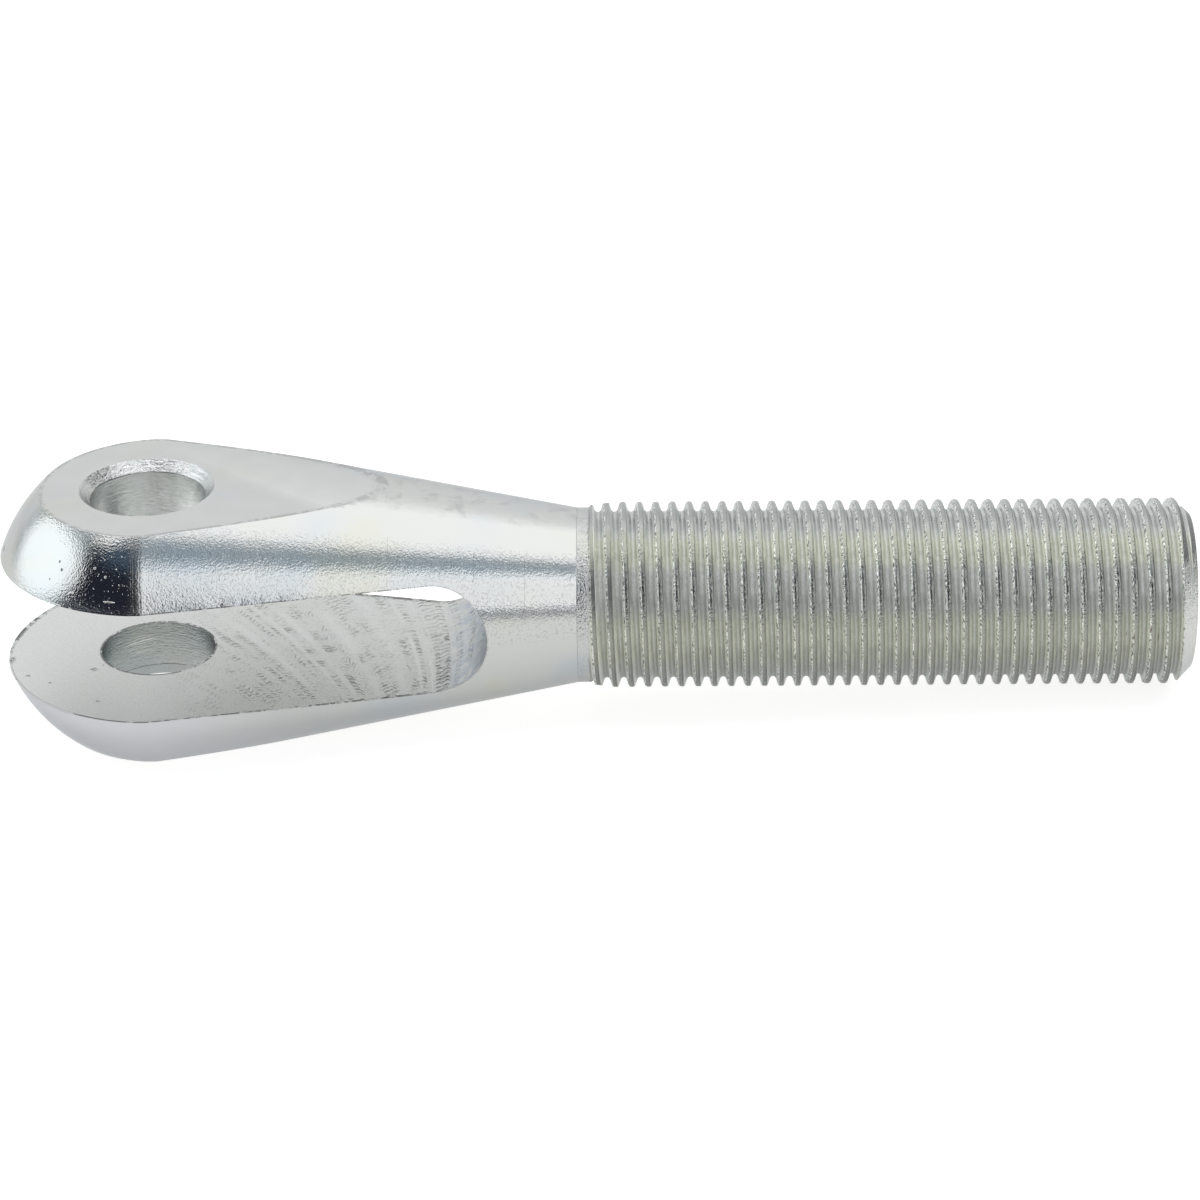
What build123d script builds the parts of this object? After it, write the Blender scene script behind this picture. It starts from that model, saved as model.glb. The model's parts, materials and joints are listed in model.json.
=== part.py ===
"""Clevis rod end: a steel fork with a threaded shank, turned from one bar and milled.

Millimetres. The origin is on the rod axis where the pin bore crosses it, +X runs along the
rod towards the thread and +Z along the pin bore. The fork lies with its flats level.
"""
from build123d import *
import os

# Turned blank, from the round nose to the end of the thread
bar_diameter = 28.575        # 1 1/8 in bar, left as a narrow land beside the pin bore
land_ahead = 0.5             # land, on the nose side of the pin bore's axis
land_behind = 0.55           # land, on the thread side of it
nose_reach = 13.6            # pin bore axis to the tip that the slot takes away
cone_length = 35.65          # taper from the bar down to the neck
neck_diameter = 14.9         # the size that the thread is rolled from
neck_length = 1.05
thread_diameter = 15.8       # over the crests of a 5/8-18 thread
thread_length = 50.8         # 2 in
thread_lead_in = 0.45        # first, part-formed turn
thread_end_chamfer = 1.3     # 45 degrees

# Fork
slot_width = 9.9             # takes a 3/8 in eye
slot_reach = 28.75           # pin bore axis to the slot's round floor
slot_rise = 0.12             # the slot was cut this much above the rod axis
upper_ear = 5.4              # ear thickness, slot face to outer flat
lower_ear = 5.95
pin_bore_diameter = 9.7      # for a 3/8 in pin
upper_countersink = 0.85     # 45 degrees
lower_countersink = 2.0      # 45 degrees, cut deeper than the upper one

# Places along the rod
cone_end = land_behind + cone_length
thread_start = cone_end + neck_length
shank_end = thread_start + thread_length

# Heights of the milled faces
slot_top = slot_rise + slot_width / 2
slot_bottom = slot_rise - slot_width / 2
upper_flat = slot_top + upper_ear
lower_flat = slot_bottom - lower_ear

bar_radius = bar_diameter / 2
neck_radius = neck_diameter / 2
thread_radius = thread_diameter / 2
end_radius = thread_radius - thread_end_chamfer
pin_bore_radius = pin_bore_diameter / 2
cutter_overrun = 5.0         # how far a cut runs past the metal


with BuildPart() as clevis_rod_end:
    # Half section of the turned blank. The nose is an arc centred on the rod axis.
    with BuildSketch(Plane.XZ) as half_section:
        with BuildLine():
            nose = TangentArc(
                (-nose_reach, 0),
                (-land_ahead, bar_radius),
                tangent=(0, 1),
            )
            Polyline(
                nose @ 1,
                (land_behind, bar_radius),
                (cone_end, neck_radius),
                (thread_start, neck_radius),
                (thread_start + thread_lead_in, thread_radius),
                (shank_end - thread_end_chamfer, thread_radius),
                (shank_end, end_radius),
                (shank_end, 0),
                nose @ 0,
            )
        make_face()
    revolve(axis=Axis.X)

    # Outer flats of the two ears. They run out on the cone.
    flat_cut_length = nose_reach + cone_end
    flat_cut_middle = (cone_end - nose_reach) / 2
    flat_cut_width = bar_diameter + 2 * cutter_overrun
    with BuildSketch(Plane.XY.offset(upper_flat)):
        with Locations((flat_cut_middle, 0)):
            Rectangle(flat_cut_length, flat_cut_width)
    extrude(amount=bar_radius, mode=Mode.SUBTRACT)
    with BuildSketch(Plane.XY.offset(lower_flat)):
        with Locations((flat_cut_middle, 0)):
            Rectangle(flat_cut_length, flat_cut_width)
    extrude(amount=-bar_radius, mode=Mode.SUBTRACT)

    # Slot between the ears, open at the nose, with a full-radius floor.
    slot_floor_centre = slot_reach - slot_width / 2
    slot_open_centre = -nose_reach - cutter_overrun
    with BuildSketch(Plane.XZ):
        with Locations(((slot_floor_centre + slot_open_centre) / 2, slot_rise)):
            SlotCenterToCenter(slot_floor_centre - slot_open_centre, slot_width)
    extrude(amount=bar_radius + cutter_overrun, both=True, mode=Mode.SUBTRACT)

    # Pin bore through both ears, countersunk on the outer flats only.
    with Locations(Plane.XY.offset(upper_flat)):
        Hole(radius=pin_bore_radius)
    bore_rims = clevis_rod_end.edges(Select.LAST).filter_by(GeomType.CIRCLE).sort_by(Axis.Z)
    upper_mouth = bore_rims[-1]
    lower_mouth = bore_rims[0]
    chamfer(upper_mouth, length=upper_countersink)
    chamfer(lower_mouth, length=lower_countersink)

clevis_rod_end.part.label = "clevis_rod_end"
os.makedirs("parts", exist_ok=True)
export_step(clevis_rod_end.part, "parts/clevis_rod_end.step")
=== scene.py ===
"""Clevis rod end: the looks of a zinc-plated steel fork with a rolled thread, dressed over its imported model.

Metres throughout. The rod's axis is X, from the fork's round nose to the thread's end, and the pin
bore is on Z. Run as a script it builds the dressed piece, then the studio around it.
"""
import json
import math

import bmesh
import bpy
from bpy.props import FloatProperty, FloatVectorProperty, IntProperty, PointerProperty
from mathutils import Matrix, Vector, noise


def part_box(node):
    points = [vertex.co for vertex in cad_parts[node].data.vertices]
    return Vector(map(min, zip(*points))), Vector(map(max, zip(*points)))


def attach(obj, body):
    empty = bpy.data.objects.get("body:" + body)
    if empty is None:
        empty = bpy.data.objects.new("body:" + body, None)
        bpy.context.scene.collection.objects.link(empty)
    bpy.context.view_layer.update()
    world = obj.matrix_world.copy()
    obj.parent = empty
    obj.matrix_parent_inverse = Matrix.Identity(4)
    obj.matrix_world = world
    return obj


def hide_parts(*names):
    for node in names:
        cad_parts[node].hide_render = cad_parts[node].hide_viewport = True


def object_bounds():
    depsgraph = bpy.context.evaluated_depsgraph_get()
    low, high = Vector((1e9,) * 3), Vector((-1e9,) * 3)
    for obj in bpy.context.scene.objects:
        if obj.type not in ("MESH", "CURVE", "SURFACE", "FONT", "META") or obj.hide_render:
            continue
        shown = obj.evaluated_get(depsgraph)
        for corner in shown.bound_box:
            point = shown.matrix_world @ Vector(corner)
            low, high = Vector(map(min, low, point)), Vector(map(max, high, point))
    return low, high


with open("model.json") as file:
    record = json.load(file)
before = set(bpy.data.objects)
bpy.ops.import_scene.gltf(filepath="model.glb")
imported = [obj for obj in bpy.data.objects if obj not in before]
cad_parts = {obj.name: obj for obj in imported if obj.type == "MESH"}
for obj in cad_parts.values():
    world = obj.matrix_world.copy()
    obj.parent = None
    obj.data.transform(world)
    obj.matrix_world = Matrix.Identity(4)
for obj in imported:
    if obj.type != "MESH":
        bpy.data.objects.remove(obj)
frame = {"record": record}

bl_info = {
    "name": "Clevis Rod End",
    "version": (1, 0, 0),
    "blender": (4, 5, 0),
    "location": "View3D > Sidebar > Rod End",
    "description": "Builds a zinc-plated clevis rod end over its packed model, and a studio around it",
    "category": "Add Mesh",
}

NODE = "clevis_rod_end"
BODY = "root"
MM = 0.001
WELD = 1e-6

# How finely the shapes are made, beside the facets round the rod
NOSE_STEPS = 40
CONE_RINGS = 44
CORNER_STEPS = 3
ROOT_STEPS = 5
SLOT_SEGMENTS = 96
CREASE = math.radians(24)

# The blank's materials, by their slots on its mesh
TURNED, MILLED, ROLLED = range(3)

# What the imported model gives
CAD_BOX = [list(corner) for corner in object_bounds()]
MOUNTS = {mount["name"]: mount for mount in frame["record"]["mounts"]}
SHANK_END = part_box(NODE)[1].x
UPPER_FLAT = MOUNTS["upper_ear_flat"]["pos_m"][2]
LOWER_FLAT = MOUNTS["lower_ear_flat"]["pos_m"][2]
BORE_RADIUS = MOUNTS["pin_bore"]["dims"]["r_mm"] * MM
CREST_RADIUS = MOUNTS["threaded_shank"]["dims"]["r_mm"] * MM


# Sizes, colours and light that a user would change

class RodEndSizes(bpy.types.PropertyGroup):
    """Sizes of the fork and its shank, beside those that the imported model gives."""

    bar_diameter: FloatProperty(
        name="Bar diameter", description="Land beside the pin bore, left from the bar",
        default=28.575 * MM, unit="LENGTH", precision=5)
    nose_reach: FloatProperty(
        name="Nose reach", description="Pin bore axis to the tip of the round nose, before the slot is cut",
        default=13.6 * MM, unit="LENGTH", precision=5)
    land_ahead: FloatProperty(
        name="Land ahead", description="Length of the land on the nose side of the pin bore's axis",
        default=0.5 * MM, unit="LENGTH", precision=5)
    land_behind: FloatProperty(
        name="Land behind", description="Length of the land on the thread side of the pin bore's axis",
        default=0.55 * MM, unit="LENGTH", precision=5)
    cone_length: FloatProperty(
        name="Cone length", description="Length of the taper from the land to the neck",
        default=35.65 * MM, unit="LENGTH", precision=5)
    neck_diameter: FloatProperty(
        name="Neck diameter", description="Plain neck, the size that the thread is rolled from",
        default=14.9 * MM, unit="LENGTH", precision=5)
    neck_length: FloatProperty(
        name="Neck length", description="Plain neck between the cone and the thread",
        default=1.05 * MM, unit="LENGTH", precision=5)
    slot_width: FloatProperty(
        name="Slot width", description="Gap between the ears",
        default=9.9 * MM, unit="LENGTH", precision=5)
    slot_reach: FloatProperty(
        name="Slot reach", description="Pin bore axis to the slot's round floor",
        default=28.75 * MM, unit="LENGTH", precision=5)
    slot_rise: FloatProperty(
        name="Slot rise", description="Height of the slot's middle over the rod's axis",
        default=0.12 * MM, unit="LENGTH", precision=5)
    upper_countersink: FloatProperty(
        name="Upper countersink", description="Depth of the 45 degree countersink in the upper flat",
        default=0.85 * MM, unit="LENGTH", precision=5)
    lower_countersink: FloatProperty(
        name="Lower countersink", description="Depth of the 45 degree countersink in the lower flat",
        default=1.85 * MM, unit="LENGTH", precision=5)
    thread_pitch: FloatProperty(
        name="Thread pitch", description="Crest to crest along the rod, 18 threads to the inch",
        default=25.4 / 18 * MM, unit="LENGTH", precision=6)
    root_radius: FloatProperty(
        name="Root radius", description="Rod axis to the bottom of the thread",
        default=7.06 * MM, unit="LENGTH", precision=5)
    flank_angle: FloatProperty(
        name="Flank angle", description="Lean of the thread's flanks from square to the rod",
        default=math.radians(20), unit="ROTATION")
    crest_flat: FloatProperty(
        name="Crest flat", description="Flat on top of each thread, between its two rounded corners",
        default=0.14 * MM, unit="LENGTH", precision=6)
    crest_corner: FloatProperty(
        name="Crest corner", description="Rounding between the crest flat and the flank towards the end",
        default=0.18 * MM, unit="LENGTH", precision=6)
    fork_corner: FloatProperty(
        name="Fork corner", description="Rounding between the crest flat and the flank towards the fork",
        default=0.23 * MM, unit="LENGTH", precision=6)
    first_crest: FloatProperty(
        name="First crest", description="Place of the first full crest along the rod, on top of the shank",
        default=38.735 * MM, unit="LENGTH", precision=5)
    end_chamfer: FloatProperty(
        name="End chamfer", description="45 degree chamfer at the thread's end",
        default=1.3 * MM, unit="LENGTH", precision=5)
    facets: IntProperty(
        name="Facets", description="Facets round the rod", default=144, min=24)

    @property
    def bar_radius(self):
        return self.bar_diameter / 2

    @property
    def neck_radius(self):
        return self.neck_diameter / 2

    @property
    def cone_end(self):
        """Place along the rod where the cone meets the neck."""
        return self.land_behind + self.cone_length

    @property
    def thread_start(self):
        """Place along the rod where the neck meets the thread."""
        return self.cone_end + self.neck_length

    @property
    def taper(self):
        """How much the cone's radius shrinks for each length along the rod."""
        return (self.bar_radius - self.neck_radius) / self.cone_length

    @property
    def nose_radius(self):
        """Radius of the nose, which is round about the rod's axis and meets the land's edge."""
        rise = self.nose_reach - self.land_ahead
        return (rise ** 2 + self.bar_radius ** 2) / (2 * rise)

    @property
    def nose_centre(self):
        """Place along the rod of the middle of the nose's round."""
        return self.nose_radius - self.nose_reach


class ZincColours(bpy.types.PropertyGroup):
    """Colours of the plating, its stains, and the grime that also serves as painted shade."""

    plating: FloatVectorProperty(
        name="Plating", description="Bright zinc", subtype="COLOR", size=3, default=(0.61, 0.62, 0.61))
    blue_cast: FloatVectorProperty(
        name="Blue cast", description="Passivate, blue areas", subtype="COLOR", size=3,
        default=(0.56, 0.595, 0.615))
    yellow_cast: FloatVectorProperty(
        name="Yellow cast", description="Passivate, yellow areas", subtype="COLOR", size=3,
        default=(0.61, 0.61, 0.54))
    # Grime, also used as painted shade: in bands round the thread, along torn lips, in the slot's grooves and
    # in the bore's crease
    grime_and_shade: FloatVectorProperty(
        name="Grime", description="Dark dirt in scratches and along torn edges", subtype="COLOR", size=3,
        default=(0.10, 0.10, 0.10))
    stain: FloatVectorProperty(
        name="Stain", description="Brown spots in the thread", subtype="COLOR", size=3,
        default=(0.16, 0.10, 0.06))


class StudioLight(bpy.types.PropertyGroup):
    """Brightness of the studio. White paper is 1."""

    backdrop: FloatProperty(name="Backdrop", description="Paper behind the rod end", default=1.0)
    top_box: FloatProperty(name="Top box", description="Soft box overhead", default=1.40)
    left_box: FloatProperty(name="Left box", description="Soft box beside the nose", default=1.05)
    right_box: FloatProperty(name="Right box", description="Soft box beside the thread", default=1.24)
    room: FloatVectorProperty(
        name="Room", description="Unlit room behind the camera", subtype="COLOR", size=3,
        default=(0.022, 0.025, 0.038))
    dim_wall: FloatVectorProperty(
        name="Dim wall", description="Wall above the left box", subtype="COLOR", size=3,
        default=(0.47, 0.53, 0.56))


# Mesh helpers

def link_mesh(name, bm, materials=()):
    """Makes an object from a bmesh and frees it."""
    mesh = bpy.data.meshes.new(name)
    bm.to_mesh(mesh)
    bm.free()
    for material in materials:
        mesh.materials.append(material)
    piece = bpy.data.objects.new(name, mesh)
    bpy.context.scene.collection.objects.link(piece)
    return piece


def combine(piece, tool, operation):
    """Cuts the piece with the tool, or keeps what both share, and deletes the tool."""
    modifier = piece.modifiers.new("cut", "BOOLEAN")
    modifier.operation = operation
    modifier.solver = "EXACT"
    modifier.material_mode = "TRANSFER"
    modifier.object = tool
    evaluated = piece.evaluated_get(bpy.context.evaluated_depsgraph_get())
    mesh = bpy.data.meshes.new_from_object(evaluated)
    piece.modifiers.clear()
    old = piece.data
    piece.data = mesh
    bpy.data.meshes.remove(old)
    bpy.data.objects.remove(tool)


def only_vertices(geometry):
    """The vertices among what a bmesh operator returns."""
    return [part for part in geometry if isinstance(part, bmesh.types.BMVert)]


def trim(bm, point, outward):
    """Cuts off whatever lies past a plane, which is given by a point on it and its way out."""
    bmesh.ops.bisect_plane(
        bm, geom=bm.verts[:] + bm.edges[:] + bm.faces[:], dist=WELD, plane_co=point, plane_no=outward,
        clear_outer=True)


def grow_path(bm, vertex, points):
    """Extrudes a path of edges from a vertex through points in the XZ plane, and returns its last vertex."""
    for x, z in points:
        vertex = bmesh.ops.extrude_vert_indiv(bm, verts=[vertex])["verts"][0]
        vertex.co = (x, 0, z)
    return vertex


def sweep_arc(bm, vertex, centre_x, centre_z, angle, steps):
    """Turns a vertex about an axis along Y into an arc, and returns the arc's last vertex."""
    swept = bmesh.ops.spin(
        bm, geom=[vertex], cent=(centre_x, 0, centre_z), axis=(0, 1, 0), angle=angle, steps=steps)
    return only_vertices(swept["geom_last"])[0]


def lathe(bm, axis, steps):
    """Turns everything in the bmesh once round an axis through the origin, and welds the poles."""
    bmesh.ops.spin(
        bm, geom=bm.verts[:] + bm.edges[:], axis=axis, cent=(0, 0, 0), angle=math.tau, steps=steps,
        use_merge=True)
    bmesh.ops.remove_doubles(bm, verts=bm.verts, dist=WELD)
    bmesh.ops.recalc_face_normals(bm, faces=bm.faces)


# The rod end's mesh

def turned_blank(sizes):
    """The turned head, from the round nose to the middle of the neck, open at the neck."""
    bm = bmesh.new()
    tip = bm.verts.new((-sizes.nose_reach, 0, 0))
    nose_turn = math.atan2(sizes.bar_radius, sizes.nose_centre + sizes.land_ahead)
    nose_end = sweep_arc(bm, tip, sizes.nose_centre, 0, nose_turn, NOSE_STEPS)
    # Points close beside the land's edges keep its worn look to this width
    worn = 0.3 * MM
    cone_start = grow_path(bm, nose_end, [
        (worn - sizes.land_ahead, sizes.bar_radius),
        (sizes.land_behind - worn, sizes.bar_radius),
        (sizes.land_behind, sizes.bar_radius),
        (sizes.land_behind + worn, sizes.bar_radius - worn * sizes.taper)])
    grow_path(bm, cone_start, [
        (sizes.cone_end, sizes.neck_radius),
        (sizes.cone_end + sizes.neck_length / 2, sizes.neck_radius)])
    cone = max(bm.edges, key=bmesh.types.BMEdge.calc_length)
    bmesh.ops.subdivide_edges(bm, edges=[cone], cuts=CONE_RINGS)
    lathe(bm, (1, 0, 0), sizes.facets)
    return bm


def thread_tooth(bm, sizes, crest_x):
    """One pitch of the thread's outline: a flat crest, a flank, a rounded root and the next flank.

    The root's rounding is as large as lets the flanks lean by their angle within the pitch.
    """
    lean = sizes.flank_angle
    half_flat = sizes.crest_flat / 2
    corner = sizes.crest_corner
    fork_corner = sizes.fork_corner
    depth = CREST_RADIUS - sizes.root_radius
    gain = math.cos(lean) - (1 - math.sin(lean)) * math.tan(lean)
    both_flanks = sizes.thread_pitch - sizes.crest_flat - 2 * depth * math.tan(lean)
    root = (both_flanks / gain - corner - fork_corner) / 2
    turn = math.pi / 2 - lean
    root_x = crest_x + half_flat + depth * math.tan(lean) + (corner + root) * gain
    root_side = root * math.cos(lean)
    root_top = sizes.root_radius + root * (1 - math.sin(lean))
    fork_side = half_flat + fork_corner * math.cos(lean)
    fork_foot = CREST_RADIUS - fork_corner * (1 - math.sin(lean))
    next_crest = crest_x + sizes.thread_pitch
    start = bm.verts.new((crest_x - half_flat, 0, CREST_RADIUS))
    flat_end = grow_path(bm, start, [(crest_x + half_flat, CREST_RADIUS)])
    corner_end = sweep_arc(bm, flat_end, crest_x + half_flat, CREST_RADIUS - corner, turn, CORNER_STEPS)
    root_start = grow_path(bm, corner_end, [(root_x - root_side, root_top)])
    root_end = sweep_arc(bm, root_start, root_x, sizes.root_radius + root, -2 * turn, ROOT_STEPS)
    flank_end = grow_path(bm, root_end, [(next_crest - fork_side, fork_foot)])
    sweep_arc(bm, flank_end, next_crest - half_flat, CREST_RADIUS - fork_corner, turn, CORNER_STEPS)


def ramp(value, start, end):
    """0 before start, 1 after end, and straight between."""
    return min(max((value - start) / (end - start), 0), 1)


def run_in(bm, sizes):
    """Lets the thread rise out of the plain neck: the root deepens fast, and the crest fills more slowly."""
    start = sizes.thread_start
    pitch = sizes.thread_pitch
    neck_radius = sizes.neck_radius
    part_crest = CREST_RADIUS - 0.24 * MM
    for vertex in bm.verts:
        x = vertex.co.x
        if x > start + 2 * pitch:
            continue
        radius = math.hypot(vertex.co.y, vertex.co.z)
        step = ramp(x, start - 0.1 * MM, start)
        fill = ramp(x, start, start + 1.5 * pitch)
        highest = neck_radius + (part_crest - neck_radius) * step + (CREST_RADIUS - part_crest) * fill
        deepen = ramp(x, start, start + 0.4 * pitch)
        lowest = neck_radius + (sizes.root_radius - neck_radius) * deepen
        scale = min(max(radius, lowest), highest) / radius
        vertex.co.y *= scale
        vertex.co.z *= scale


def burr(bm, sizes):
    """Ruffles the metal that rolling folded over along each crest's side towards the fork."""
    grain_size = 0.30 * MM
    most_lift = 0.06 * MM
    most_shift = 0.07 * MM
    lowest = CREST_RADIUS - 0.2 * MM
    for vertex in bm.verts:
        point = vertex.co
        radius = math.hypot(point.y, point.z)
        if radius < lowest:
            continue
        turns = (point.x - sizes.first_crest) / sizes.thread_pitch - math.atan2(-point.y, point.z) / math.tau
        ahead = (turns - round(turns)) * sizes.thread_pitch
        folded = ramp(ahead, -0.42 * MM, -0.28 * MM) * ramp(ahead, -0.06 * MM, -0.16 * MM)
        scale = 1 + folded * noise.noise(point / grain_size) * most_lift / radius
        shift = folded * noise.noise(point / grain_size + Vector((9, 0, 0))) * most_shift
        vertex.co = (point.x + shift, point.y * scale, point.z * scale)


def rolled_shank(sizes):
    """The threaded shank as a tube: open where it meets the neck, capped past the shank's end."""
    bm = bmesh.new()
    pitch = sizes.thread_pitch
    start_cut = sizes.cone_end + 0.75 * sizes.neck_length
    end_cut = SHANK_END + 0.5 * MM
    turns_before = math.ceil((sizes.first_crest - start_cut) / pitch) + 2
    turns = math.ceil((end_cut - sizes.first_crest) / pitch) + turns_before + 1
    thread_tooth(bm, sizes, sizes.first_crest - turns_before * pitch)
    tooth = bm.verts[:] + bm.edges[:]
    for turn in range(1, turns):
        copied = bmesh.ops.duplicate(bm, geom=tooth)["geom"]
        bmesh.ops.translate(bm, verts=only_vertices(copied), vec=(turn * pitch, 0, 0))
    bmesh.ops.remove_doubles(bm, verts=bm.verts, dist=WELD)
    bmesh.ops.spin(
        bm, geom=bm.verts[:] + bm.edges[:], axis=(1, 0, 0), cent=(0, 0, 0), angle=math.tau,
        steps=sizes.facets, dvec=(pitch / sizes.facets, 0, 0))
    bmesh.ops.remove_doubles(bm, verts=bm.verts, dist=WELD)
    burr(bm, sizes)
    run_in(bm, sizes)
    trim(bm, (start_cut, 0, 0), (-1, 0, 0))
    trim(bm, (end_cut, 0, 0), (1, 0, 0))
    cap = [edge for edge in bm.edges if edge.is_boundary and edge.verts[0].co.x > SHANK_END]
    bmesh.ops.edgeloop_fill(bm, edges=cap)
    return bm


def whole_blank(sizes):
    """The turned and rolled blank as one closed shell, before the fork is milled."""
    bm = turned_blank(sizes)
    shank = rolled_shank(sizes)
    carrier = bpy.data.meshes.new("shank")
    shank.to_mesh(carrier)
    shank.free()
    bm.from_mesh(carrier)
    bpy.data.meshes.remove(carrier)
    rims = [edge for edge in bm.edges if edge.is_boundary]
    bmesh.ops.bridge_loops(bm, edges=rims)
    bmesh.ops.recalc_face_normals(bm, faces=bm.faces)
    return bm


def mill_flats(bm):
    """Cuts both flats square to the bore and closes them."""
    for height, outward in ((UPPER_FLAT, 1), (LOWER_FLAT, -1)):
        trim(bm, (0, 0, height), (0, 0, outward))
        rim = [edge for edge in bm.edges if edge.is_boundary]
        for face in bmesh.ops.edgeloop_fill(bm, edges=rim, mat_nr=MILLED)["faces"]:
            face.normal_update()


def slot_cutter(sizes, material):
    """A bar with a full-radius end, across the fork."""
    bm = bmesh.new()
    half_width = sizes.slot_width / 2
    overrun = 5 * MM
    round_centre = sizes.slot_reach - half_width
    bmesh.ops.create_circle(
        bm, radius=half_width, segments=SLOT_SEGMENTS, cap_ends=True,
        matrix=Matrix.Rotation(math.pi / 2, 4, "X"))
    open_end = [vertex for vertex in bm.verts if vertex.co.x < -WELD]
    bmesh.ops.translate(bm, verts=open_end, vec=(-round_centre - sizes.nose_reach - overrun, 0, 0))
    reach = sizes.bar_radius + overrun
    bmesh.ops.translate(bm, verts=bm.verts, vec=(round_centre, -reach, sizes.slot_rise))
    grown = bmesh.ops.extrude_face_region(bm, geom=bm.faces[:])["geom"]
    bmesh.ops.translate(bm, verts=only_vertices(grown), vec=(0, 2 * reach, 0))
    bmesh.ops.recalc_face_normals(bm, faces=bm.faces)
    return link_mesh("slot_cutter", bm, [material])


def bore_cutter(sizes, material):
    """A drill with a 45 degree countersink at each end."""
    bm = bmesh.new()
    overrun = 2 * MM
    upper = sizes.upper_countersink
    lower = sizes.lower_countersink
    top = bm.verts.new((0, 0, UPPER_FLAT + overrun))
    grow_path(bm, top, [
        (BORE_RADIUS + upper + overrun, UPPER_FLAT + overrun),
        (BORE_RADIUS, UPPER_FLAT - upper),
        (BORE_RADIUS, LOWER_FLAT + lower),
        (BORE_RADIUS + lower + overrun, LOWER_FLAT - overrun),
        (0, LOWER_FLAT - overrun)])
    lathe(bm, (0, 0, 1), sizes.facets)
    return link_mesh("bore_cutter", bm, [material])


def end_form(sizes, material):
    """The room that the shank's end is left in: a cylinder round the whole rod with the end chamfer."""
    bm = bmesh.new()
    clear = 2 * MM
    wide = sizes.bar_diameter
    start = bm.verts.new((-2 * sizes.nose_reach, 0, 0))
    chamfer_start = SHANK_END - sizes.end_chamfer
    grow_path(bm, start, [
        (-2 * sizes.nose_reach, wide),
        (chamfer_start - 2 * clear, wide),
        (chamfer_start - clear, CREST_RADIUS + clear),
        (SHANK_END, CREST_RADIUS - sizes.end_chamfer),
        (SHANK_END, 0)])
    lathe(bm, (1, 0, 0), sizes.facets)
    return link_mesh("end_form", bm, [material])


def shade(piece, sizes):
    """Smooths the turned faces and keeps every machined edge crisp, and the shallow turned edge at the neck
    too.
    """
    bm = bmesh.new()
    bm.from_mesh(piece.data)
    bmesh.ops.dissolve_degenerate(bm, edges=bm.edges, dist=WELD)
    for face in bm.faces:
        face.smooth = True
    neck_edge = sizes.cone_end
    for edge in bm.edges:
        at_neck = all(abs(vertex.co.x - neck_edge) < WELD for vertex in edge.verts)
        edge.smooth = edge.calc_face_angle(0) < CREASE and not at_neck
    bm.to_mesh(piece.data)
    bm.free()


# Materials

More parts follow.
